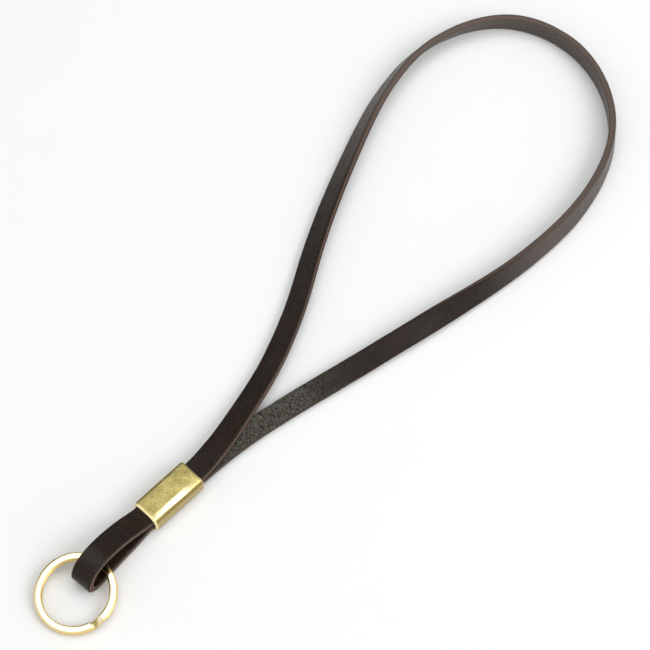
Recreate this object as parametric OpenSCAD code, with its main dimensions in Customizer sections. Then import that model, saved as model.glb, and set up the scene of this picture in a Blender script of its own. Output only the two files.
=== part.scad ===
// Wristlet keychain: a flat leather strap makes a wide loop for the wrist and a small one that
// holds a split ring. Both ends of the strap meet, butted end to end, inside a crimped brass sleeve.
//
// Units are millimetres, +Z is up and the keychain lies on the table, z = 0.
// The origin is the middle of the sleeve's underside. +Y runs along the sleeve, from the split
// ring's end towards the wrist loop, and +X is to the right when looking along +Y.

/* [Strap] */
// Width of the flat leather strap
strap_width = 7.4; // [7.0:0.1:7.6]
// Thickness of the leather
strap_thickness = 2.4; // [2.2:0.05:2.5]
// Rounding along the strap's four edges
strap_edge = 0.45; // [0.3:0.05:0.6]

/* [Sleeve] */
// Length of the brass sleeve along the strap
sleeve_length = 20; // [16:1:20]
// Width of the sleeve, across the strap
sleeve_width = 10; // [9.9:0.1:11]
// Thickness of the sleeve's brass
sleeve_wall = 0.8; // [0.6:0.1:0.9]
// Outside corner radius of the sleeve
sleeve_corner = 2; // [1.8:0.1:2]

/* [Small loop] */
// Slope at which the upper layer climbs away from the sleeve, in degrees
climb_angle = 15; // [14:1:17]
// Radius of the two gentle bends at the ends of the climb
climb_radius = 22; // [18:1:24]
// Radius of the tight end bend, to the middle of the leather
end_bend_radius = 3.9; // [3.8:0.1:4.1]
// How far the small loop turns to the right of the sleeve, in degrees
small_loop_turn = 2.5; // [0:0.5:3]

/* [Split ring] */
// Outside diameter of the split ring
ring_diameter = 25; // [25:0.5:26]
// Width of the flat ring wire, across the ring
ring_band = 2.3; // [2.1:0.1:2.3]
// Height of one of the two turns of wire
turn_height = 1.15; // [1.05:0.05:1.15]
// Gap between the two turns
turn_gap = 0.1; // [0.06:0.02:0.1]
// Rounding along the edges of the ring wire
wire_edge = 0.35; // [0.25:0.05:0.4]
// Direction of the ring's split, in degrees round the ring
split_angle = -25; // [-60:5:20]

/* [Hidden] */
$fn = 48;

// Clearance between the leather and the brass, and between the two layers in the sleeve
layer_gap = 0.05;

half_thickness = strap_thickness / 2;
lower_layer_z = sleeve_wall + layer_gap + half_thickness;
upper_layer_z = lower_layer_z + strap_thickness + layer_gap;
sleeve_height = upper_layer_z + half_thickness + layer_gap + sleeve_wall;
sleeve_end = sleeve_length / 2;

// The strap's cut ends meet here under the sleeve, and the wrist loop's upper layer starts here
butt_y = 0;
splice_y = sleeve_end - 2;

// Route of the strap round the wrist loop, from the lower layer in the sleeve, up the right leg,
// round the far end and down the left leg to the upper layer.
// Each row is x, y, the lean of the strap's width from flat in degrees, and the height of its
// lower edge. The strap is a smooth cubic curve drawn through the pull of these points.
route = [
    [0, 0, 0, 0.85],
    [0, 10, 0, 0.85],
    [0, 20, 0, 0.6],
    [1, 33, 1, 0.3],
    [4, 50, 3, 0.1],
    [8.5, 70, 8, 0],
    [13, 91, 24, 0],
    [17.5, 111, 56, 0],
    [21, 129, 72, 0],
    [22.5, 146, 72, 0],
    [22.5, 161, 74, 0],
    [20.5, 175, 78, 0],
    [16.5, 188, 82, 0],
    [10.5, 199, 84, 0],
    [2, 208, 85, 0],
    [-9, 215, 86, 0],
    [-21.5, 219, 87, 0],
    [-35, 218.5, 85, 0],
    [-47, 213.5, 80, 0],
    [-55.5, 204, 71, 0],
    [-60.5, 192, 64, 0],
    [-62.5, 179, 62, 0],
    [-61, 166, 58, 0],
    [-57.5, 152, 53, 0],
    [-51.5, 137, 48, 0],
    [-44.5, 121, 42, 0],
    [-36.5, 104, 37, 0],
    [-26.5, 86, 32, 0],
    [-16, 66, 25, 0.1],
    [-8, 46, 18, 0.5],
    [-2.5, 30, 14, 1.8],
    [0, 20, 3, 3.1],
    [0, 10, 0, 3.3],
    [0, 0, 0, 3.3],
];
steps_per_row = 2;

// Small loop, in its own upright plane
climb_height = lower_bend_z() + 2 * end_bend_radius - upper_layer_z;
climb_straight = (climb_height - 2 * climb_radius * (1 - cos(climb_angle))) / sin(climb_angle);
climb_length = 2 * climb_radius * sin(climb_angle) + climb_straight * cos(climb_angle);
// The lower layer drops from the sleeve to the table in two equal bends
drop_height = lower_layer_z - lower_bend_z();
drop_length = 9;
drop_angle = 2 * atan(drop_height / drop_length);
drop_radius = drop_length / 2 / sin(drop_angle);
lower_straight = climb_length - drop_length;

// Ring wire
ring_height = 2 * turn_height + turn_gap;
ring_mean_radius = (ring_diameter - ring_band) / 2;
// The wire climbs from the lower turn to the upper one over this angle
crossover_angle = 16;
crossover_steps = 8;
// The crossover's wire is this much slimmer on each side, and runs on into both turns
crossover_inset = 0.04;
crossover_lap_angle = 1;
// Open slot between a cut end of the wire and the crossover
cut_gap_angle = 2;
// Where the ring wire lies inside the small loop. It is the ring's hinge
ring_pivot = [0.9, -29.85, 3.95];
// Turn of the ring about the vertical, and slope of the ring down to the table
ring_turn = 10;
ring_slope = asin((ring_pivot[2] - ring_height / 2) / (ring_diameter - ring_band / 2));

// Height of the middle of the leather where it lies on the table
function lower_bend_z() = half_thickness;

// Uniform cubic blend of four rows at u from 0 to 1
function blend(a, b, c, d, u) = (
    (1 - u) ^ 3 * a
    + (3 * u ^ 3 - 6 * u ^ 2 + 4) * b
    + (-3 * u ^ 3 + 3 * u ^ 2 + 3 * u + 1) * c
    + u ^ 3 * d
) / 6;

// Slope of the same blend
function blend_slope(a, b, c, d, u) = (
    -3 * (1 - u) ^ 2 * a
    + (9 * u ^ 2 - 12 * u) * b
    + (-9 * u ^ 2 + 6 * u + 3) * c
    + 3 * u ^ 2 * d
) / 6;

// Corners of the strap's section, across its width and through its thickness
section = [
    for (corner = [[-1, -1], [1, -1], [1, 1], [-1, 1]])
        for (cut = corner[0] == corner[1] ? [[0, 1], [1, 0]] : [[1, 0], [0, 1]])
            [
                corner[0] * (strap_width / 2 - cut[0] * strap_edge),
                corner[1] * (half_thickness - cut[1] * strap_edge),
            ]
];

// One ring of points where the strap passes row [x, y, lean, lift], heading along the given slope
function strap_ring(row, heading) =
    let (
        along = [heading[0], heading[1]] / norm([heading[0], heading[1]]),
        inward = [-along[1], along[0], 0],
        across = cos(row[2]) * inward + [0, 0, sin(row[2])],
        through = [0, 0, cos(row[2])] - sin(row[2]) * inward,
        rise = strap_width / 2 * sin(row[2]) + half_thickness * cos(row[2]),
        middle = [row[0], row[1], row[3] + rise]
    )
    [for (p = section) middle + p[0] * across + p[1] * through];

function straight_ring(y, z) =
    strap_ring([0, y, 0, z - half_thickness], [0, z == lower_layer_z ? 1 : -1]);

// Rings round the wrist loop, with a straight piece inside the sleeve at each end
wrist_rings = concat(
    [straight_ring(butt_y, lower_layer_z)],
    [
        for (i = [0:len(route) - 4])
            for (step = [0:steps_per_row - (i < len(route) - 4 ? 1 : 0)])
                let (
                    u = step / steps_per_row,
                    row = blend(route[i], route[i + 1], route[i + 2], route[i + 3], u),
                    heading = blend_slope(route[i], route[i + 1], route[i + 2], route[i + 3], u)
                )
                strap_ring(row, heading)
    ],
    [straight_ring(splice_y, upper_layer_z)]
);

// Solid through a list of rings of equal count, closed by flat ends
module skin(rings) {
    sides = len(rings[0]);
    last = len(rings) - 1;
    walls = [
        for (i = [0:last - 1])
            for (k = [0:sides - 1])
                let (
                    a = i * sides + k,
                    b = i * sides + (k + 1) % sides,
                    c = b + sides,
                    d = a + sides
                )
                each [[a, c, b], [a, d, c]]
    ];
    start_cap = [for (k = [0:sides - 1]) k];
    end_cap = [for (k = [sides - 1:-1:0]) last * sides + k];
    polyhedron(points = [for (ring = rings) each ring], faces = concat([start_cap], walls, [end_cap]));
}

// Rows of a bend that starts at row [y, z, pitch] and turns by the given angle, upwards if positive.
// A strap with pitch 0 heads along -Y
function bend_rows(start, radius, turn, steps) = [
    for (i = [1:steps])
        let (
            pitch = start[2] + turn * i / steps,
            reach = sign(turn) * radius
        )
        [
            start[0] - reach * (sin(pitch) - sin(start[2])),
            start[1] - reach * (cos(pitch) - cos(start[2])),
            pitch,
        ]
];

function straight_row(start, length) =
    [start[0] - length * cos(start[2]), start[1] + length * sin(start[2]), start[2]];

function last_of(rows) = rows[len(rows) - 1];

// Climb from the sleeve, end bend, and lower run back to the sleeve
mouth_row = [-sleeve_end, upper_layer_z, 0];
climb_start = bend_rows(mouth_row, climb_radius, climb_angle, 3);
climb_middle = straight_row(last_of(climb_start), climb_straight);
climb_end = bend_rows(climb_middle, climb_radius, -climb_angle, 3);
end_bend = bend_rows(last_of(climb_end), end_bend_radius, -180, 14);
table_run = straight_row(last_of(end_bend), lower_straight);
drop_start = bend_rows(table_run, drop_radius, -drop_angle, 2);
drop_end = bend_rows(last_of(drop_start), drop_radius, drop_angle, 2);
outer_rows = concat(climb_start, [climb_middle], climb_end, end_bend, [table_run], drop_start, drop_end);

// The small loop is turned a little about the sleeve's mouth
function turned(point) =
    let (reach = point[1] + sleeve_end)
    reach >= 0 ? point : [
        point[0] * cos(small_loop_turn) - reach * sin(small_loop_turn),
        point[0] * sin(small_loop_turn) + reach * cos(small_loop_turn) - sleeve_end,
        point[2],
    ];

function pitched_ring(row) =
    let (through = [0, sin(row[2]), cos(row[2])])
    [for (p = section) turned([p[0], row[0] + p[1] * through[1], row[1] + p[1] * through[2]])];

small_loop_rings = [
    for (row = concat(
        [[splice_y, upper_layer_z, 0], mouth_row],
        outer_rows,
        [[butt_y, lower_layer_z, -180]]
    ))
        pitched_ring(row)
];

// Leather of the small loop, from the splice in the sleeve round the ring and back to the butt
module small_loop() {
    color("saddlebrown")
        skin(small_loop_rings);
}

// Leather of the wrist loop
module wrist_strap() {
    color("saddlebrown")
        skin(wrist_rings);
}

// Rounded rectangle of exact arcs
module rounded_rectangle(width, height, radius) {
    square([width - 2 * radius, height], center = true);
    square([width, height - 2 * radius], center = true);
    for (x = [-1, 1])
        for (y = [-1, 1])
            translate([x * (width / 2 - radius), y * (height / 2 - radius)])
                circle(radius);
}

// Crimped brass tube
module sleeve() {
    color("darkgoldenrod")
        translate([0, sleeve_end, sleeve_height / 2])
            rotate([90, 0, 0])
                linear_extrude(sleeve_length)
                    difference() {
                        rounded_rectangle(sleeve_width, sleeve_height, sleeve_corner);
                        rounded_rectangle(
                            sleeve_width - 2 * sleeve_wall,
                            sleeve_height - 2 * sleeve_wall,
                            sleeve_corner - sleeve_wall
                        );
                    }
}

// One turn of ring wire at height z, from one angle to another round the ring
module ring_turn_arc(from, to, z) {
    rotate([0, 0, from])
        rotate_extrude(angle = to - from)
            translate([ring_mean_radius, z])
                rounded_rectangle(ring_band, turn_height, wire_edge);
}

// Section of the crossover wire, as points across the band and through its height
wire_outline = [
    for (corner = [[-1, -1], [1, -1], [1, 1], [-1, 1]])
        for (cut = corner[0] == corner[1] ? [[0, 1], [1, 0]] : [[1, 0], [0, 1]])
            [
                corner[0] * (ring_band / 2 - crossover_inset - cut[0] * wire_edge),
                corner[1] * (turn_height / 2 - crossover_inset - cut[1] * wire_edge),
            ]
];

// Sloping wire between the lower and the upper turn
module crossover(half_step) {
    skin([
        for (i = [0:crossover_steps])
            let (
                share = i / crossover_steps,
                angle = share * (crossover_angle + 2 * crossover_lap_angle) - crossover_lap_angle,
                z = -half_step * cos(180 * max(0, min(1, angle / crossover_angle)))
            )
            [
                for (p = wire_outline)
                    [
                        (ring_mean_radius - p[0]) * cos(angle),
                        (ring_mean_radius - p[0]) * sin(angle),
                        z + p[1],
                    ]
            ]
    ]);
}

// Two turns of flat wire, joined by the crossover, about the ring's own centre
module ring_coil() {
    half_step = (turn_height + turn_gap) / 2;
    ring_turn_arc(crossover_angle + cut_gap_angle, 360, -half_step);
    ring_turn_arc(crossover_angle, 360 - cut_gap_angle, half_step);
    crossover(half_step);
}

module split_ring() {
    color("gold")
        translate(ring_pivot)
            rotate([0, 0, ring_turn])
                rotate([ring_slope, 0, 0])
                    translate([0, -ring_mean_radius, 0])
                        rotate([0, 0, split_angle])
                            ring_coil();
}

wrist_strap();
small_loop();
sleeve();
split_ring();
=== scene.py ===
"""The looks of the wristlet keychain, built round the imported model.

Lengths are in millimetres until a mesh is made. Colours are linear."""
import math

import bpy
import numpy as np
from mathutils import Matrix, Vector


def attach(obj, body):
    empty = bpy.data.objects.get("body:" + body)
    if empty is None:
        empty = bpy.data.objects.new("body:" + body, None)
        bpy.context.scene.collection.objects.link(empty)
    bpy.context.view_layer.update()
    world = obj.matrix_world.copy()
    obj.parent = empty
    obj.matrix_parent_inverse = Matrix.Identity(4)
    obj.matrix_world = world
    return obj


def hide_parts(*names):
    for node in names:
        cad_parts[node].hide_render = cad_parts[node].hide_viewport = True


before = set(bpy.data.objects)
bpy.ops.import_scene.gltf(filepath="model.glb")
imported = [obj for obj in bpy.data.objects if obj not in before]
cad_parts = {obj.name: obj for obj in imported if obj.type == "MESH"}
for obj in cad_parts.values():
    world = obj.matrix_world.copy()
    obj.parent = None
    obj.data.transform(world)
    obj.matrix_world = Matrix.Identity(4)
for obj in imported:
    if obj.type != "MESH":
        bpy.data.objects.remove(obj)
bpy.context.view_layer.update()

MM = 0.001

# Strap
STRAP_WIDTH = 7.4
STRAP_THICKNESS = 2.4
STRAP_EDGE = 0.5
LOWER_LAYER_Z = 2.05
UPPER_LAYER_Z = 4.5
BUTT_GAP = 0.05
STEPS_PER_ROW = 48
STRAP_FLATS = (22, 6)
STRAP_CORNER_STEPS = 5

# The left leg bows outwards beside the sleeve, and comes back inwards where it has crossed the right leg
LEFT_LEG_BOW = 0.7
LEFT_LEG_RETURN = 0.9

# Relief of the leather: heights above the smooth outline, and wavelengths
LONG_SWELL_HEIGHT = 0.05
LONG_SWELL = 9
SHORT_SWELL_HEIGHT = 0.02
SHORT_SWELL = 3.2
WRINKLE_HEIGHT = 0.045
WRINKLE = 1.35
FACE_HOLLOW = 0.05
RING_GROOVE = 0.14

# Where along y things happen to the strap: one or two places, and the length over which they fade in or out
BOW_STARTS = (16, 12)
BOW_STOPS = (35, 28)
PAST_CROSSING = (46, 84, 26)
WRINKLED = (14, 62, 26)
# A painted highlight at the top of the small loop's end bend, which also gets a little wrinkling
BEND_TOP_HIGHLIGHT = (-33, -29.5, 4)
# Where the painted reflection on the right leg's standing faces sets in
RIGHT_LEG_REFLECTION = (135, 40)
EDGES_DYED = (52, 30)
UNDER_RING = (-32.5, -27.5, 2)

# The strap counts as standing on its edge from this upward share of its width direction
STANDING = (0.75, 0.3)

# Route round the wrist loop, as in the part: x, y, lean of the width from flat, height of the lower edge
ROUTE = [
    [0, 0, 0, 0.85],
    [0, 10, 0, 0.85],
    [0, 20, 0, 0.6],
    [1, 33, 1, 0.3],
    [4, 50, 3, 0.1],
    [8.5, 70, 8, 0],
    [13, 91, 24, 0],
    [17.5, 111, 56, 0],
    [21, 129, 72, 0],
    [22.5, 146, 72, 0],
    [22.5, 161, 74, 0],
    [20.5, 175, 78, 0],
    [16.5, 188, 82, 0],
    [10.5, 199, 84, 0],
    [2, 208, 85, 0],
    [-9, 215, 86, 0],
    [-21.5, 219, 87, 0],
    [-35, 218.5, 85, 0],
    [-47, 213.5, 80, 0],
    [-55.5, 204, 71, 0],
    [-60.5, 192, 64, 0],
    [-62.5, 179, 62, 0],
    [-61, 166, 58, 0],
    [-57.5, 152, 53, 0],
    [-51.5, 137, 48, 0],
    [-44.5, 121, 42, 0],
    [-36.5, 104, 37, 0],
    [-26.5, 86, 32, 0],
    [-16, 66, 25, 0.1],
    [-8, 46, 18, 0.5],
    [-2.5, 30, 14, 1.8],
    [0, 20, 3, 3.1],
    [0, 10, 0, 3.3],
    [0, 0, 0, 3.3],
]

# Sleeve
SLEEVE_LENGTH = 20
SLEEVE_END = SLEEVE_LENGTH / 2
SLEEVE_WIDTH = 10
SLEEVE_HEIGHT = 6.55
SLEEVE_WALL = 0.8
SLEEVE_CORNER = 2
SLEEVE_CROWN = 0.2
SLEEVE_LIP = 0.4
LIP_REACH = 0.75
LIP_STEPS = 5
INNER_LIP = 0.15
OUTSIDE_RINGS = 42
INSIDE_RINGS = 20
SLEEVE_FLATS = (18, 8)
SLEEVE_CORNER_STEPS = 12

# The upper right corner is bent more softly at the ring's end than at the wrist's
RIGHT_CORNER = 2.35
RIGHT_CORNER_SLOPE = -0.035
LEFT_CORNER = 1.25

# Small loop
CLIMB_ANGLE = math.radians(15)
CLIMB_RADIUS = 22
END_BEND_RADIUS = 3.9
SMALL_LOOP_TURN = math.radians(2.5)
TABLE_Z = STRAP_THICKNESS / 2
DROP_LENGTH = 9

# The loop's upper layer bows by this x, y and z, and the loop is a little longer than in the part
CLIMB_BOW = (-0.75, 0, 0.75)
LOOP_STRETCH = 1.04

# Split ring
RING_DIAMETER = 25
RING_BAND = 2.3
TURN_HEIGHT = 1.15
TURN_GAP = 0.1
RING_MEAN_RADIUS = (RING_DIAMETER - RING_BAND) / 2
RING_HEIGHT = 2 * TURN_HEIGHT + TURN_GAP
SPLIT_ANGLE = math.radians(-25)
CROSSOVER_ANGLE = 16
CUT_GAP_ANGLE = 2
RING_PIVOT = (0.9, -29.85, 3.95)
RING_TURN = math.radians(10)
RING_SLOPE = math.asin((RING_PIVOT[2] - RING_HEIGHT / 2) / (RING_DIAMETER - RING_BAND / 2))
WIRE_POINTS = 40
WIRE_ROUNDNESS = 0.55
END_FILING = 0.16
END_FILING_ANGLE = 2

# Painted shade on the ring, in degrees round it: from and to, and the angle over which it fades
SHADE_IN_LOOP = (-27, 4, 5)
SLOPE_START = 360
SLOPE_SHADE_END = 368
SLOPE_SHADE_SLANT = 6
SLOPE_SHADE_FADE = 5


# ---------------------------------------------------------------- camera

CAMERA_PLACE = (194.2, -131.0, 505.2)
CAMERA_TARGET = (-9.5, 77.8, 0)
CAMERA_LENS = 99.56
CAMERA_SENSOR = 36


def make_camera():
    """A camera high up to the right of the ring, which looks down at the middle of the keychain."""
    place = Vector(CAMERA_PLACE) * MM
    target = Vector(CAMERA_TARGET) * MM
    data = bpy.data.cameras.new("camera")
    data.lens = CAMERA_LENS
    data.sensor_width = CAMERA_SENSOR
    data.clip_start = 0.01
    data.clip_end = 20
    camera = bpy.data.objects.new("camera", data)
    camera.location = place
    camera.rotation_mode = "QUATERNION"
    camera.rotation_quaternion = (target - place).to_track_quat("-Z", "Y")
    bpy.context.collection.objects.link(camera)
    bpy.context.scene.camera = camera


# ---------------------------------------------------------------- meshes

def unit(vectors):
    """Vectors of the same directions, one long."""
    return vectors / np.linalg.norm(vectors, axis=-1, keepdims=True)


def ripple(points, wavelength, seed, waves=14):
    """Smooth random height, about -1 to 1, at points in millimetres."""
    draw = np.random.default_rng(seed)
    total = np.zeros(points.shape[:-1])
    for _ in range(waves):
        heading = unit(draw.normal(size=points.shape[-1]))
        length = wavelength * draw.uniform(0.7, 1.5)
        total += np.cos(points @ heading * 2 * math.pi / length + draw.uniform(0, 2 * math.pi))
    return total / math.sqrt(2 * waves)


def rise_at(value, place, soft):
    """0 before place and 1 after it, changing smoothly over soft."""
    share = np.clip((value - place) / soft + 0.5, 0, 1)
    return share * share * (3 - 2 * share)


def fall_at(value, place, soft):
    """1 before place and 0 after it, changing smoothly over soft."""
    share = np.clip((place - value) / soft + 0.5, 0, 1)
    return share * share * (3 - 2 * share)


def bump_between(value, low, high, soft):
    """1 between low and high, falling smoothly to 0 over soft on each side."""
    return rise_at(value, low, soft) * fall_at(value, high, soft)


def rounded_outline(width, height, radii, flats, arc_steps):
    """Points and outward directions round a rounded rectangle, counter-clockwise from the lower right.

    radii has one radius for each corner, and flats how many pieces the two flat directions are cut into."""
    points, normals = [], []
    corners = [(1, -1, -90), (1, 1, 0), (-1, 1, 90), (-1, -1, 180)]
    for number, (side_x, side_y, first_angle) in enumerate(corners):
        radius, next_radius = radii[number], radii[(number + 1) % 4]
        centre = np.array([side_x * (width / 2 - radius), side_y * (height / 2 - radius)])
        for step in range(arc_steps + 1):
            angle = math.radians(first_angle + 90 * step / arc_steps)
            normal = np.array([math.cos(angle), math.sin(angle)])
            points.append(centre + radius * normal)
            normals.append(normal)
        next_x, next_y, _ = corners[(number + 1) % 4]
        next_centre = np.array([next_x * (width / 2 - next_radius), next_y * (height / 2 - next_radius)])
        flat_start, flat_end = centre + radius * normal, next_centre + next_radius * normal
        pieces = flats[1] if side_x == next_x else flats[0]
        for step in range(1, pieces):
            points.append(flat_start + (flat_end - flat_start) * step / pieces)
            normals.append(normal)
    return np.array(points), np.array(normals)


def grid_faces(rows, columns, closed_rows):
    """Quads of a grid of points whose columns close round, and whose rows may."""
    faces = []
    for row in range(rows if closed_rows else rows - 1):
        here = row * columns
        there = (row + 1) % rows * columns
        for column in range(columns):
            beside = (column + 1) % columns
            faces.append((here + column, here + beside, there + beside, there + column))
    return faces


def strip_faces(rows, columns):
    """Faces of a long strip whose rows of points run round it, with both ends closed."""
    faces = [tuple(reversed(face)) for face in grid_faces(rows, columns, closed_rows=False)]
    faces.append(tuple(range(columns)))
    faces.append(tuple(reversed(range((rows - 1) * columns, rows * columns))))
    return faces


def make_object(name, points, faces, material, attributes):
    """A smooth shaded object from points in millimetres. attributes give each point a vector or a value."""
    mesh = bpy.data.meshes.new(name)
    mesh.from_pydata((points.reshape(-1, 3) * MM).tolist(), [], faces)
    mesh.validate()
    for label, values in attributes.items():
        if values.shape[-1] == 3:
            layer = mesh.attributes.new(label, "FLOAT_VECTOR", "POINT")
            layer.data.foreach_set("vector", values.reshape(-1).astype(np.float32))
        else:
            layer = mesh.attributes.new(label, "FLOAT", "POINT")
            layer.data.foreach_set("value", values.reshape(-1).astype(np.float32))
    mesh.materials.append(material)
    mesh.polygons.foreach_set("use_smooth", [True] * len(mesh.polygons))
    made = bpy.data.objects.new(name, mesh)
    bpy.context.collection.objects.link(made)
    return made


# ---------------------------------------------------------------- strap

def smoothed_route():
    """Rows of x, y, lean and height on a smooth curve that is drawn along the route."""
    route = np.array(ROUTE, float)
    windows = np.stack([route[k:len(route) - 3 + k] for k in range(4)], axis=1)
    u = np.arange(STEPS_PER_ROW) / STEPS_PER_ROW
    pull = np.stack([
        (1 - u) ** 3,
        3 * u ** 3 - 6 * u ** 2 + 4,
        -3 * u ** 3 + 3 * u ** 2 + 3 * u + 1,
        u ** 3,
    ])
    return np.einsum("ku,wkc->wuc", pull / 6, windows).reshape(-1, 4)


def wrist_stations():
    """Middle, across and through directions round the wrist loop, from the sleeve back to it."""
    rows = smoothed_route()
    y = rows[:, 1]
    left_leg = np.arange(len(rows)) > len(rows) / 2
    beside_sleeve = rise_at(y, *BOW_STARTS) * fall_at(y, *BOW_STOPS)
    past_crossing = bump_between(y, *PAST_CROSSING)
    rows[:, 0] += (LEFT_LEG_RETURN * past_crossing - LEFT_LEG_BOW * beside_sleeve) * left_leg

    heading = unit(np.gradient(rows[:, :2], axis=0))
    lean = np.radians(rows[:, 2])[:, None]
    inward = np.stack([-heading[:, 1], heading[:, 0], np.zeros(len(rows))], axis=1)
    up = np.array([[0, 0, 1.0]])
    across = np.cos(lean) * inward + np.sin(lean) * up
    through = np.cos(lean) * up - np.sin(lean) * inward
    rise = STRAP_WIDTH / 2 * np.sin(lean) + STRAP_THICKNESS / 2 * np.cos(lean)
    middle = np.column_stack([rows[:, :2], rows[:, 3:] + rise])
    return middle, across, through


def bend(rows, radius, turn, steps):
    """Adds a bend to rows of y, z, pitch. The strap turns upwards if turn is positive."""
    y, z, start = rows[-1]
    reach = math.copysign(radius, turn)
    for step in range(1, steps + 1):
        pitch = start + turn * step / steps
        rows.append((
            y - reach * (math.sin(pitch) - math.sin(start)),
            z - reach * (math.cos(pitch) - math.cos(start)),
            pitch,
        ))


def run_straight(rows, length, steps):
    """Adds a straight run to rows of y, z, pitch."""
    y, z, pitch = rows[-1]
    for step in range(1, steps + 1):
        way = length * step / steps
        rows.append((y - way * math.cos(pitch), z + way * math.sin(pitch), pitch))


def small_loop_rows():
    """Rows of y, z, pitch from the wrist end of the sleeve, round the ring and back to the middle of it."""
    climb_height = TABLE_Z + 2 * END_BEND_RADIUS - UPPER_LAYER_Z
    climb_straight = (climb_height - 2 * CLIMB_RADIUS * (1 - math.cos(CLIMB_ANGLE))) / math.sin(CLIMB_ANGLE)
    climb_length = 2 * CLIMB_RADIUS * math.sin(CLIMB_ANGLE) + climb_straight * math.cos(CLIMB_ANGLE)
    drop_angle = 2 * math.atan((LOWER_LAYER_Z - TABLE_Z) / DROP_LENGTH)
    drop_radius = DROP_LENGTH / 2 / math.sin(drop_angle)
    rows = [(SLEEVE_END, UPPER_LAYER_Z, 0)]
    run_straight(rows, SLEEVE_LENGTH, 20)
    bend(rows, CLIMB_RADIUS, CLIMB_ANGLE, 8)
    run_straight(rows, climb_straight, 14)
    bend(rows, CLIMB_RADIUS, -CLIMB_ANGLE, 8)
    bend(rows, END_BEND_RADIUS, -math.pi, 36)
    run_straight(rows, climb_length - DROP_LENGTH, 14)
    bend(rows, drop_radius, -drop_angle, 5)
    bend(rows, drop_radius, drop_angle, 5)
    run_straight(rows, SLEEVE_END - BUTT_GAP, 10)
    return np.array(rows)


def small_loop_stations():
    """Middle, across and through directions round the small loop, from the sleeve back into it."""
    y, z, pitch = small_loop_rows().T
    y = np.where(y < -SLEEVE_END, (y + SLEEVE_END) * LOOP_STRETCH - SLEEVE_END, y)
    none = np.zeros(len(y))
    middle = np.column_stack([none, y, z])
    across = np.column_stack([none + 1, none, none])
    through = np.column_stack([none, np.sin(pitch), np.cos(pitch)])

    # The upper layer bows up and to the left on its way to the end bend
    from_sleeve = np.clip(-SLEEVE_END - y, 0, None)
    reach_share = from_sleeve / from_sleeve.max()
    upper_layer = pitch >= -math.pi / 2
    bow = 4 * reach_share * (1 - reach_share) * upper_layer
    middle += bow[:, None] * CLIMB_BOW

    turn = np.where(middle[:, 1] < -SLEEVE_END, SMALL_LOOP_TURN * (1 + reach_share), 0)
    for vectors, pivot in ((middle, -SLEEVE_END), (across, 0), (through, 0)):
        sideways, onward = vectors[:, 0].copy(), vectors[:, 1] - pivot
        vectors[:, 0] = sideways * np.cos(turn) - onward * np.sin(turn)
        vectors[:, 1] = sideways * np.sin(turn) + onward * np.cos(turn) + pivot
    return middle, across, through


def strap_stations():
    """The whole strap, from its cut end in the sleeve round both loops to its other cut end."""
    first_y = np.arange(BUTT_GAP, SLEEVE_END, 1)
    none = np.zeros(len(first_y))
    start = (
        np.column_stack([none, first_y, none + LOWER_LAYER_Z]),
        np.column_stack([none - 1, none, none]),
        np.column_stack([none, none, none + 1]),
    )
    parts = (start, wrist_stations(), small_loop_stations())
    return [np.concatenate(kind) for kind in zip(*parts)]


def strap_marks(middle, across, through):
    """How creased (the creases also get painted highlights), how much painted reflection it gets where it
    stands on edge, and how dyed at the edges the strap is at each station, from 0 to 1.
    """
    y = middle[:, 1]
    right_leg = (middle[:, 0] > -1) & (np.arange(len(middle)) < len(middle) / 3)
    end_bend_top = (across[:, 2] == 0) & (through[:, 2] > 0.3) & (y < -SLEEVE_END)
    # By the crossing the right leg is creased, and its crease ridges get painted highlights
    by_crossing = bump_between(y, *WRINKLED) * right_leg
    # Painted highlight where the top of the end bend faces the light overhead
    bend_top_highlight = 0.4 * bump_between(y, *BEND_TOP_HIGHLIGHT) * end_bend_top
    # Where the strap stands on edge its faces get a painted reflection of the bright table, on the right leg
    # only further up
    standing = rise_at(across[:, 2], *STANDING)
    return {
        "crease_and_highlight": np.maximum(by_crossing, bend_top_highlight),
        "standing_reflection": standing * np.where(right_leg, rise_at(y, *RIGHT_LEG_REFLECTION), 1),
        "dyed": rise_at(y, *EDGES_DYED),
    }


def strap_relief(place, outline, outward, middle, through, creased):
    """Height of the leather above its smooth outline."""
    # In the sleeve the leather is pressed flat
    loose = 1 - bump_between(middle[:, 1], -SLEEVE_END - 2, SLEEVE_END + 4, 4)
    across_share = np.abs(outline[:, 0] / (STRAP_WIDTH / 2))
    grain_side = np.clip(outline[:, 1] / (STRAP_THICKNESS / 2), 0, 1)
    flesh_side = np.clip(-outline[:, 1] / (STRAP_THICKNESS / 2), 0, 1)
    flat_share = 1 - np.abs(outward[:, 0])

    swell = LONG_SWELL_HEIGHT * ripple(place * [1, 1, 0.3], LONG_SWELL, seed=3)
    swell += SHORT_SWELL_HEIGHT * ripple(place, SHORT_SWELL, seed=4)
    inland = grain_side * (1 - across_share ** 6)
    wrinkle = WRINKLE_HEIGHT * ripple(place * [1, 0.34, 1], WRINKLE, seed=5, waves=24)
    height = loose[:, None] * (swell * (0.3 + 0.7 * grain_side) + wrinkle * inland * creased[:, None])
    height -= FACE_HOLLOW * loose[:, None] * flat_share * (1 - across_share ** 2)

    # The ring has pressed a shallow groove in the flesh side of the small loop's lower layer
    under_ring = bump_between(middle[:, 1], *UNDER_RING) * (through[:, 2] < -0.9)
    return height - RING_GROOVE * under_ring[:, None] * flesh_side


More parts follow.
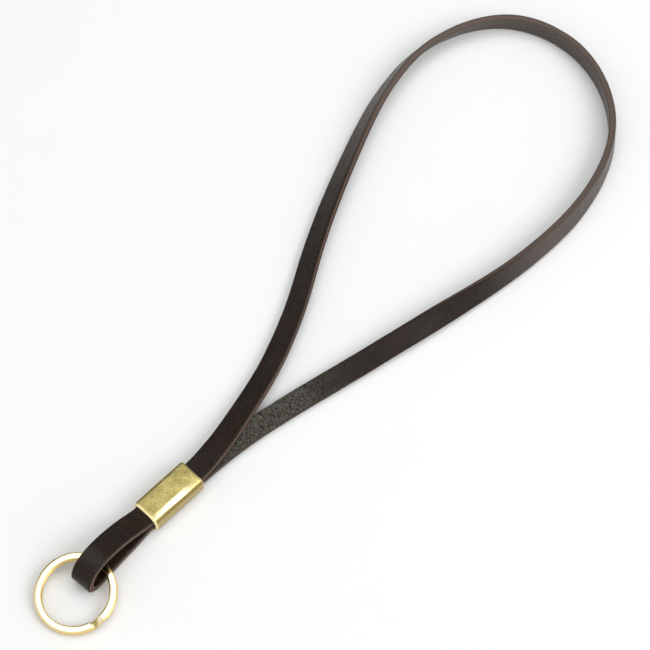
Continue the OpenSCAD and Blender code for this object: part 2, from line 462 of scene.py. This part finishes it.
def make_strap(material):
    """The leather strap, with one outline of points at each of its stations."""
    middle, across, through = strap_stations()
    steps = np.linalg.norm(np.diff(middle, axis=0), axis=1)
    along = np.concatenate([[0], np.cumsum(steps)])
    outline, outward = rounded_outline(
        STRAP_WIDTH,
        STRAP_THICKNESS,
        [STRAP_EDGE] * 4,
        STRAP_FLATS,
        STRAP_CORNER_STEPS,
    )

    rows, columns = len(middle), len(outline)
    place = np.empty((rows, columns, 3))
    place[..., 0] = along[:, None]
    place[..., 1] = outline[None, :, 0]
    place[..., 2] = outline[None, :, 1]
    marks = strap_marks(middle, across, through)
    height = strap_relief(place, outline, outward, middle, through, marks["crease_and_highlight"])

    sized = outline[None] + height[..., None] * outward[None]
    points = middle[:, None] + sized[..., :1] * across[:, None] + sized[..., 1:] * through[:, None]
    attributes = {name: np.repeat(values[:, None, None], columns, axis=1) for name, values in marks.items()}
    attributes["strap_mm"] = place
    return make_object("leather_strap", points, strip_faces(rows, columns), material, attributes)


# ---------------------------------------------------------------- sleeve

def sleeve_profile():
    """Pairs of y and depth below the outer surface, along the outside of the sleeve and back inside."""
    lip_angles = [math.radians(90 * step / LIP_STEPS) for step in range(LIP_STEPS + 1)]
    near_outer = [
        (SLEEVE_END - LIP_REACH * (1 - math.sin(a)), SLEEVE_LIP * (1 - math.cos(a)))
        for a in lip_angles
    ]
    near_inner = [
        (SLEEVE_END - INNER_LIP * (1 - math.cos(a)), SLEEVE_WALL - INNER_LIP * (1 - math.sin(a)))
        for a in lip_angles
    ]
    half = near_outer + near_inner
    far_end = [(-y, depth) for y, depth in reversed(half)]
    outer_end, inner_end = SLEEVE_END - LIP_REACH, SLEEVE_END - 0.5
    outside = [(y, 0) for y in np.linspace(-outer_end, outer_end, OUTSIDE_RINGS)[1:-1]]
    inside = [(y, SLEEVE_WALL) for y in np.linspace(inner_end, -inner_end, INSIDE_RINGS)]
    return outside + half + inside + far_end


def sleeve_ring(y, depth):
    """One ring of points round the sleeve, at a depth below its outer surface."""
    inward = depth / SLEEVE_WALL
    right_corner = RIGHT_CORNER + RIGHT_CORNER_SLOPE * y
    outer_corners = np.array([SLEEVE_CORNER, right_corner, LEFT_CORNER, LEFT_CORNER])
    inner_corner = SLEEVE_CORNER - SLEEVE_WALL
    outline, outward = rounded_outline(
        SLEEVE_WIDTH - 2 * depth,
        SLEEVE_HEIGHT - 2 * depth,
        outer_corners + (inner_corner - outer_corners) * inward,
        SLEEVE_FLATS,
        SLEEVE_CORNER_STEPS,
    )
    ring = np.column_stack([outline[:, 0], np.full(len(outline), y), outline[:, 1] + SLEEVE_HEIGHT / 2])
    normal = np.column_stack([outward[:, 0], np.zeros(len(outline)), outward[:, 1]])

    outer_share = max(0, 1 - depth / SLEEVE_LIP)
    worn = 0.03 * ripple(ring, 8, seed=11) + 0.01 * ripple(ring, 2.6, seed=12)
    upward = np.clip(outward[:, 1], 0, 1)
    crown = SLEEVE_CROWN * upward * (1 - (outline[:, 0] / (SLEEVE_WIDTH / 2)) ** 2) * (1 - inward)
    return ring + normal * (worn * outer_share + crown)[:, None]


def make_sleeve(material):
    """A flattened brass tube with a crowned top and rounded lips."""
    profile = sleeve_profile()
    points = np.array([sleeve_ring(y, depth) for y, depth in profile])
    faces = grid_faces(len(profile), points.shape[1], closed_rows=True)
    return make_object("brass_sleeve", points, faces, material, {"sleeve_mm": points})


# ---------------------------------------------------------------- ring

def wire_section():
    """Angles round the wire, and its points across and up."""
    turns = np.radians(np.linspace(0, 360, WIRE_POINTS, endpoint=False))
    band = np.sign(np.cos(turns)) * np.abs(np.cos(turns)) ** WIRE_ROUNDNESS * RING_BAND / 2
    rise = np.sign(np.sin(turns)) * np.abs(np.sin(turns)) ** WIRE_ROUNDNESS * TURN_HEIGHT / 2
    return turns, band, rise


def painted_ring_shade(angles, turns):
    """Painted shade where the wire lies in the leather loop, and on the slope between the turns, mostly
    inwards.
    """
    from_loop = (angles - (90 - math.degrees(SPLIT_ANGLE)) + 180) % 360 - 180
    in_loop = bump_between(from_loop, *SHADE_IN_LOOP)
    end = SLOPE_SHADE_END - SLOPE_SHADE_SLANT * np.cos(turns)
    on_slope = 0.9 * bump_between(angles[:, None], SLOPE_START, end[None, :], SLOPE_SHADE_FADE)
    return np.maximum(in_loop[:, None], on_slope)[..., None]


def make_ring(material):
    """Two turns of flat wire, from the cut end of the lower turn up the slope to that of the upper one."""
    angles = np.arange(CROSSOVER_ANGLE + CUT_GAP_ANGLE, 720 - CUT_GAP_ANGLE + 0.01, 2)
    climb = np.clip((angles - SLOPE_START) / CROSSOVER_ANGLE, 0, 1)
    half_step = (TURN_HEIGHT + TURN_GAP) / 2
    height = -half_step * np.cos(math.pi * climb)
    turns, band, rise = wire_section()

    # The wire is filed a little thinner right at its cut ends
    from_end = np.minimum(angles - angles[0], angles[-1] - angles)
    slim = 1 - END_FILING * np.clip(1 - from_end / END_FILING_ANGLE, 0, 1) ** 2
    radius = RING_MEAN_RADIUS + band[None, :] * slim[:, None]
    way = np.radians(angles)[:, None]
    points = np.stack(
        [radius * np.cos(way), radius * np.sin(way), height[:, None] + rise[None, :] * slim[:, None]],
        axis=-1,
    )
    points = turned_about_z(points, SPLIT_ANGLE) - [0, RING_MEAN_RADIUS, 0]
    points = tilted_about_x(points, RING_SLOPE)
    points = turned_about_z(points, RING_TURN) + RING_PIVOT

    rows, columns = points.shape[:2]
    wire = np.empty((rows, columns, 3))
    wire[..., 0] = way * RING_MEAN_RADIUS
    wire[..., 1] = band[None]
    wire[..., 2] = rise[None]
    attributes = {"wire_mm": wire, "ring_shade": painted_ring_shade(angles, turns)}
    return make_object("gold_ring", points, strip_faces(rows, columns), material, attributes)


def turned_about_z(points, angle):
    """Points turned from +X towards +Y."""
    cosine, sine = math.cos(angle), math.sin(angle)
    return points @ np.array([[cosine, sine, 0], [-sine, cosine, 0], [0, 0, 1]])


def tilted_about_x(points, angle):
    """Points turned from +Y towards +Z."""
    cosine, sine = math.cos(angle), math.sin(angle)
    return points @ np.array([[1, 0, 0], [0, cosine, sine], [0, -sine, cosine]])


# ---------------------------------------------------------------- materials

# Leather, from dark to pale
DARK_BROWN = (0.0085, 0.0038, 0.0018, 1)
DEEP_BROWN = (0.0135, 0.0064, 0.0030, 1)
MOTTLED_BROWN = (0.022, 0.0115, 0.006, 1)
GRAIN_BROWN = (0.045, 0.031, 0.020, 1)
# The next two colours are a painted reflection of the bright table where the strap stands on edge
REFLECTION_BROWN = (0.066, 0.052, 0.044, 1)
REFLECTION_GRAIN = (0.100, 0.079, 0.068, 1)
# The next two colours are painted highlights on the crease ridges
DULL_RIDGE_HIGHLIGHT = (0.095, 0.089, 0.073, 1)
PALE_RIDGE_HIGHLIGHT = (0.170, 0.167, 0.138, 1)
EDGE_FIBRE = (0.04, 0.024, 0.017, 1)
# The same painted reflection on the cut edges
REFLECTION_EDGE = (0.115, 0.086, 0.074, 1)

# Antique brass
CLEAN_BRASS = (0.54, 0.445, 0.175, 1)
OLIVE_FILM = (0.27, 0.223, 0.073, 1)
# Painted highlight on the right-hand shoulder
HIGHLIGHT_BRASS = (0.97, 0.90, 0.62, 1)
CORNER_SHADE = (0.26, 0.195, 0.065, 1)
WALL_BRASS = (0.55, 0.43, 0.19, 1)
# Painted shade at the foot, by the table
FOOT_SHADE = (0.15, 0.12, 0.07, 1)
# Painted highlight along the rounded lips
LIP_HIGHLIGHT = (0.90, 0.75, 0.42, 1)

# Gold plating
PALE_GOLD = (0.88, 0.77, 0.50, 1)
BRIGHT_GOLD = (0.92, 0.84, 0.60, 1)
# Deeper gold painted as shade on the rims and the lower half of the wire
RIM_SHADE_GOLD = (0.84, 0.61, 0.24, 1)
# Painted shade in the leather loop and on the slope between the turns
SHADED_GOLD = (0.40, 0.28, 0.09, 1)

# Table
TABLE_WHITE = (0.785, 0.79, 0.785, 1)
TABLE_SPECK = (0.80, 0.805, 0.80, 1)

# Colours through the thickness of a cut edge, from the flesh side to the grain side
DYED_EDGE_LAYERS = [
    (0.06, (0.014, 0.008, 0.005, 1)),
    (0.26, (0.05, 0.029, 0.020, 1)),
    (0.42, (0.135, 0.090, 0.069, 1)),
    (0.60, (0.12, 0.077, 0.057, 1)),
    (0.74, (0.034, 0.020, 0.014, 1)),
    (0.90, (0.012, 0.006, 0.004, 1)),
]
# The grain side's pale band is paler than the flesh side's: painted shade on the lower half of the edge
RAW_EDGE_LAYERS = [
    (0.03, (0.012, 0.007, 0.005, 1)),
    (0.10, (0.15, 0.097, 0.075, 1)),
    (0.38, (0.11, 0.068, 0.05, 1)),
    (0.46, (0.024, 0.014, 0.010, 1)),
    (0.56, (0.03, 0.018, 0.013, 1)),
    (0.66, (0.22, 0.145, 0.11, 1)),
    (0.84, (0.19, 0.12, 0.09, 1)),
    (0.93, (0.012, 0.007, 0.005, 1)),
]


class Shader:
    """A material's node tree, with short calls for the nodes that it needs."""

    def __init__(self, name):
        self.material = bpy.data.materials.new(name)
        self.material.use_nodes = True
        self.tree = self.material.node_tree
        self.surface = self.tree.nodes["Principled BSDF"]

    def feed(self, socket, value):
        """Links a socket to a node's output, or sets it to a plain value."""
        if isinstance(value, bpy.types.NodeSocket):
            self.tree.links.new(value, socket)
        else:
            socket.default_value = value

    def node(self, kind, inputs, **settings):
        """A new node of this kind, with its inputs fed by name or number and its settings made."""
        made = self.tree.nodes.new("ShaderNode" + kind)
        for name, value in settings.items():
            setattr(made, name, value)
        for key, value in inputs.items():
            self.feed(made.inputs[key], value)
        return made

    def attribute(self, name, output):
        return self.node("Attribute", {}, attribute_name=name).outputs[output]

    def maths(self, operation, *values):
        return self.node("Math", dict(enumerate(values)), operation=operation).outputs[0]

    def product(self, first, *others):
        total = first
        for value in others:
            total = self.maths("MULTIPLY", total, value)
        return total

    def scaled(self, vector, scale):
        return self.node("VectorMath", {0: vector, 1: scale}, operation="MULTIPLY").outputs[0]

    def parts(self, vector):
        return self.node("SeparateXYZ", {0: vector}).outputs

    def noise(self, vector, scale, detail=3, roughness=0.5, distortion=0.0):
        inputs = {
            "Vector": vector,
            "Scale": scale,
            "Detail": detail,
            "Roughness": roughness,
            "Distortion": distortion,
        }
        return self.node("TexNoise", inputs).outputs[0]

    def cells(self, vector, scale):
        made = self.node("TexVoronoi", {"Vector": vector, "Scale": scale}, feature="DISTANCE_TO_EDGE")
        return made.outputs["Distance"]

    def span(self, value, low, high, to_low=0.0, to_high=1.0):
        """A value that goes smoothly from to_low at low to to_high at high."""
        inputs = {"Value": value, "From Min": low, "From Max": high, "To Min": to_low, "To Max": to_high}
        return self.node("MapRange", inputs, interpolation_type="SMOOTHSTEP").outputs[0]

    def ramp(self, value, stops):
        """The colour at a value from 0 to 1, between stops of position and colour."""
        made = self.node("ValToRGB", {0: value})
        elements = made.color_ramp.elements
        while len(elements) < len(stops):
            elements.new(0.5)
        for element, (position, colour) in zip(elements, stops):
            element.position = position
            element.color = colour
        return made.outputs[0]

    def mix_colour(self, share, first, second):
        return self.node("Mix", {0: share, 6: first, 7: second}, data_type="RGBA").outputs[2]

    def mix_value(self, share, first, second):
        return self.node("Mix", {0: share, 2: first, 3: second}, data_type="FLOAT").outputs[0]

    def bump(self, height, distance, strength, below=None):
        """A normal for a height that reaches this distance in metres, on top of another normal if given."""
        inputs = {"Height": height, "Distance": distance, "Strength": strength}
        if below:
            inputs["Normal"] = below
        return self.node("Bump", inputs).outputs[0]

    def finish(self, **sockets):
        """Feeds the surface's inputs, with _ for a space in their names, and gives the material."""
        for name, value in sockets.items():
            self.feed(self.surface.inputs[name.replace("_", " ")], value)
        return self.material


def waxed_face(shader, place, mottle, grain, folds):
    """Colour of the strap's faces: mottled dark brown, with a painted reflection where the strap stands on
    edge and painted highlights on the crease ridges.
    """
    crease_and_highlight = shader.attribute("crease_and_highlight", "Fac")
    tone = shader.noise(place, 0.13, detail=4)
    dark = shader.mix_colour(shader.span(tone, 0.3, 0.7), DARK_BROWN, DEEP_BROWN)
    face = shader.mix_colour(shader.span(mottle, 0.45, 0.8), dark, MOTTLED_BROWN)
    face = shader.mix_colour(shader.span(grain, 0.52, 0.75, 0.0, 0.5), face, GRAIN_BROWN)
    # Painted reflection of the bright table where the strap stands on edge
    standing_reflection = shader.mix_colour(shader.span(grain, 0.35, 0.65), REFLECTION_BROWN, REFLECTION_GRAIN)
    face = shader.mix_colour(shader.product(shader.attribute("standing_reflection", "Fac"), 0.9), face, standing_reflection)
    # Painted highlights on the ridges of the creases
    ridge = shader.product(shader.span(folds, 0.36, 0.64), shader.span(grain, 0.3, 0.6, 0.65, 1.0))
    ridge_highlight = shader.mix_colour(shader.span(crease_and_highlight, 0.6, 1.0), DULL_RIDGE_HIGHLIGHT, PALE_RIDGE_HIGHLIGHT)
    return shader.mix_colour(shader.product(ridge, crease_and_highlight), face, ridge_highlight)


def cut_edge(shader, place, height):
    """Colour of the strap's cut edges: fibres in layers through its thickness, with a painted reflection
    where the strap stands on edge.
    """
    fibre = shader.noise(shader.scaled(place, (0.5, 1, 4)), 2.2, detail=4, roughness=0.7)
    layer = shader.maths("ADD", height, shader.span(fibre, 0.2, 0.8, -0.14, 0.14))
    depth = shader.span(layer, -STRAP_THICKNESS / 2, STRAP_THICKNESS / 2)
    dyed = shader.attribute("dyed", "Fac")
    raw = shader.mix_colour(dyed, shader.ramp(depth, RAW_EDGE_LAYERS), shader.ramp(depth, DYED_EDGE_LAYERS))
    raw = shader.mix_colour(shader.span(fibre, 0.25, 0.8, 0.35, 0.0), raw, EDGE_FIBRE)
    # Painted reflection where the strap stands on edge
    return shader.mix_colour(shader.product(shader.attribute("standing_reflection", "Fac"), 0.75), raw, REFLECTION_EDGE)


def leather():
    """Dark brown waxed leather with raw cut edges, with painted highlights on the crease ridges and a
    painted reflection of the table where the strap stands on edge.
    """
    shader = Shader("dark_leather")
    place = shader.attribute("strap_mm", "Vector")
    _, across, height = shader.parts(place)
    mottle = shader.noise(place, 1.1, detail=4, roughness=0.6)
    grain = shader.noise(place, 3.6, detail=4, roughness=0.65)
    stretched = shader.scaled(place, (1, 0.42, 1))
    folds = shader.noise(stretched, 2.3, detail=5, roughness=0.7, distortion=0.6)

    # The dye has run a little over the corners
    reach = shader.maths("ADD", shader.maths("ABSOLUTE", across), shader.span(mottle, 0.2, 0.8, -0.08, 0.08))
    edge = shader.span(reach, STRAP_WIDTH / 2 - 0.14, STRAP_WIDTH / 2 - 0.03)
    face = waxed_face(shader, place, mottle, grain, folds)
    colour = shader.mix_colour(edge, face, cut_edge(shader, place, height))

    pores = shader.cells(shader.scaled(place, (1, 1.15, 1)), 1.55)
    fine = shader.bump(shader.span(pores, 0.0, 0.22), 0.00014, 0.5)
    folding = shader.mix_value(shader.attribute("crease_and_highlight", "Fac"), 0.05, 1.0)
    wide = shader.bump(folds, 0.0010, folding, fine)
    normal = shader.bump(shader.noise(place, 5, detail=3), 0.0001, 0.25, wide)
    rough = shader.mix_value(shader.span(mottle, 0.25, 0.75), 0.26, 0.36)
    rough = shader.mix_value(edge, rough, 0.75)
    return shader.finish(Base_Color=colour, Roughness=rough, Normal=normal, IOR=1.27)


def brass():
    """Antique brass: a mottled olive film, with a painted highlight along the right-hand corner and at the
    lips, and painted shade below the corner and at the foot.
    """
    shader = Shader("antique_brass")
    place = shader.attribute("sleeve_mm", "Vector")
    x, y, z = shader.parts(place)
    cloud = shader.noise(place, 0.4, detail=5, roughness=0.62)
    speck = shader.noise(place, 3.0, detail=4, roughness=0.7)
    grime = shader.maths("ADD", shader.product(cloud, 0.35), shader.product(speck, 0.65))
    colour = shader.mix_colour(shader.span(grime, 0.40, 0.60), CLEAN_BRASS, OLIVE_FILM)

    # Painted highlight on the shoulder of the right-hand corner, most of all in the middle of its length
    side = shader.span(shader.maths("ABSOLUTE", x), SLEEVE_WIDTH / 2 - 2.9, SLEEVE_WIDTH / 2 - 2.0)
    top = shader.span(z, SLEEVE_HEIGHT - 0.65, SLEEVE_HEIGHT - 0.3)
    right = shader.span(x, 0, 0.5, 0.05, 1.0)
    middle = shader.product(shader.span(y, -10, -2, 0.2, 0.9), shader.span(y, 0, 8, 1.0, 0.05))
    shoulder_highlight = shader.product(side, top, right, middle)
    colour = shader.mix_colour(shoulder_highlight, colour, HIGHLIGHT_BRASS)

    # Painted shade below the shoulder, paler on the wall, and painted shade at the foot, by the table
    below_shoulder = shader.span(z, SLEEVE_HEIGHT - 0.3, SLEEVE_HEIGHT - 0.6)
    wall = shader.span(z, SLEEVE_HEIGHT - 1.1, SLEEVE_HEIGHT - 2.0)
    foot = shader.span(z, 2.2, 0.6)
    colour = shader.mix_colour(shader.product(below_shoulder, 0.9), colour, CORNER_SHADE)
    colour = shader.mix_colour(shader.product(wall, 0.8), colour, WALL_BRASS)
    colour = shader.mix_colour(shader.product(foot, 0.75), colour, FOOT_SHADE)

    # Painted highlight along the lips
    near_lip = shader.span(y, 1.0 - SLEEVE_END, 0.4 - SLEEVE_END)
    far_lip = shader.span(y, SLEEVE_END - 0.6, SLEEVE_END - 0.1, 0.0, 0.7)
    lips = shader.maths("MAXIMUM", near_lip, far_lip)
    colour = shader.mix_colour(lips, colour, LIP_HIGHLIGHT)

    rough = shader.mix_value(shader.span(speck, 0.3, 0.7), 0.34, 0.46)
    rough = shader.mix_value(shader.maths("MAXIMUM", shoulder_highlight, lips), rough, 0.22)
    scratch = shader.noise(shader.scaled(place, (4, 0.35, 4)), 1.6, detail=4, roughness=0.7)
    normal = shader.bump(scratch, 0.00006, 0.35, shader.bump(speck, 0.00012, 0.35))
    return shader.finish(Base_Color=colour, Metallic=1.0, Roughness=rough, Normal=normal)


def gold():
    """Bright pale gold plating with faint drawing marks along the wire, painted deeper gold as shade on its
    rims and lower half, and darker as shade in the leather loop and on the slope between the turns.
    """
    shader = Shader("pale_gold")
    place = shader.attribute("wire_mm", "Vector")
    _, band, rise = shader.parts(place)
    streak = shader.noise(shader.scaled(place, (0.12, 3, 3)), 1.4, detail=4, roughness=0.65)
    cloud = shader.noise(place, 0.35, detail=3)
    pale = shader.mix_colour(shader.span(cloud, 0.3, 0.7), PALE_GOLD, BRIGHT_GOLD)
    # Painted shade: deeper gold on the rims and the lower half of the wire
    rim = shader.span(shader.maths("ABSOLUTE", band), 0.5 * RING_BAND / 2, 0.95 * RING_BAND / 2)
    lower_half = shader.span(rise, 0.2, -0.1)
    colour = shader.mix_colour(shader.maths("MAXIMUM", rim, lower_half), pale, RIM_SHADE_GOLD)
    # Painted shade in the leather loop and on the slope between the turns
    colour = shader.mix_colour(shader.attribute("ring_shade", "Fac"), colour, SHADED_GOLD)
    rough = shader.mix_value(shader.span(streak, 0.3, 0.7), 0.14, 0.24)
    rough = shader.mix_value(rim, rough, 0.36)
    normal = shader.bump(streak, 0.00004, 0.25)
    return shader.finish(Base_Color=colour, Metallic=1.0, Roughness=rough, Normal=normal)


def paper():
    """Plain matt white table."""
    shader = Shader("white_table")
    speck = shader.noise(shader.node("TexCoord", {}).outputs["Object"], 60, detail=3)
    colour = shader.mix_colour(speck, TABLE_WHITE, TABLE_SPECK)
    return shader.finish(Base_Color=colour, Roughness=0.75)


# ---------------------------------------------------------------- studio

# Metres, as nothing here is part of the keychain
TABLE_REACH = 3.0
TABLE_DROP = 0.0002
LIGHT_TARGET = (-0.01, 0.08, 0)

# The tent dims towards the opening, between two cosines of the angle from the opening's direction
TENT_COLOUR = (0.99, 1.0, 1.0, 1)
TENT_LIGHT = 0.93
OPENING_DIRECTION = (-0.732, 0.494, 0.469)
OPENING_LIGHT = 0.15
OPENING_OUTER_COSINE = 0.643
OPENING_INNER_COSINE = 0.788


def make_floor(material):
    """A plain table, a hair below the keychain."""
    reach = TABLE_REACH
    mesh = bpy.data.meshes.new("table")
    corners = [(-reach, -reach, 0), (reach, -reach, 0), (reach, reach, 0), (-reach, reach, 0)]
    mesh.from_pydata(corners, [], [(0, 1, 2, 3)])
    mesh.materials.append(material)
    floor = bpy.data.objects.new("table", mesh)
    floor.location.z = -TABLE_DROP
    bpy.context.collection.objects.link(floor)


def softbox(name, heading, elevation, distance, size, power):
    """A soft light that looks at the keychain. Heading is from +X towards +Y, in degrees."""
    flat, rise = math.radians(heading), math.radians(elevation)
    away = Vector((math.cos(rise) * math.cos(flat), math.cos(rise) * math.sin(flat), math.sin(rise)))
    data = bpy.data.lights.new(name, "AREA")
    data.shape = "RECTANGLE"
    data.size, data.size_y = size
    data.energy = power
    light = bpy.data.objects.new(name, data)
    light.location = Vector(LIGHT_TARGET) + away * distance
    light.rotation_mode = "QUATERNION"
    light.rotation_quaternion = (-away).to_track_quat("-Z", "Y")
    bpy.context.collection.objects.link(light)


def make_world():
    """An even white tent, with a dark opening low down at the back left."""
    world = bpy.data.worlds.new("studio")
    world.use_nodes = True
    nodes, links = world.node_tree.nodes, world.node_tree.links
    direction = nodes.new("ShaderNodeTexCoord").outputs["Generated"]
    towards = nodes.new("ShaderNodeVectorMath")
    towards.operation = "DOT_PRODUCT"
    towards.inputs[1].default_value = OPENING_DIRECTION
    links.new(direction, towards.inputs[0])
    share = nodes.new("ShaderNodeMapRange")
    share.interpolation_type = "SMOOTHSTEP"
    share.inputs["From Min"].default_value = OPENING_OUTER_COSINE
    share.inputs["From Max"].default_value = OPENING_INNER_COSINE
    share.inputs["To Min"].default_value = TENT_LIGHT
    share.inputs["To Max"].default_value = OPENING_LIGHT
    links.new(towards.outputs["Value"], share.inputs["Value"])
    nodes["Background"].inputs["Color"].default_value = TENT_COLOUR
    links.new(share.outputs[0], nodes["Background"].inputs["Strength"])
    bpy.context.scene.world = world


def make_studio():
    """A large light overhead, a second one at the right, and the white tent round them."""
    softbox("overhead_light", 138, 75, 1.2, (0.95, 0.95), 4.4)
    softbox("right_light", 14, 42, 1.3, (0.8, 0.7), 7.0)
    make_world()
    bpy.context.scene.view_settings.view_transform = "Standard"


# ---------------------------------------------------------------- scene

make_camera()

strap = make_strap(leather())
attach(strap, "strap")
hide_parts("wrist_strap", "small_loop")

sleeve = make_sleeve(brass())
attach(sleeve, "strap")
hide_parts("sleeve")

ring = make_ring(gold())
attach(ring, "ring")
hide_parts("split_ring")

make_floor(paper())
make_studio()
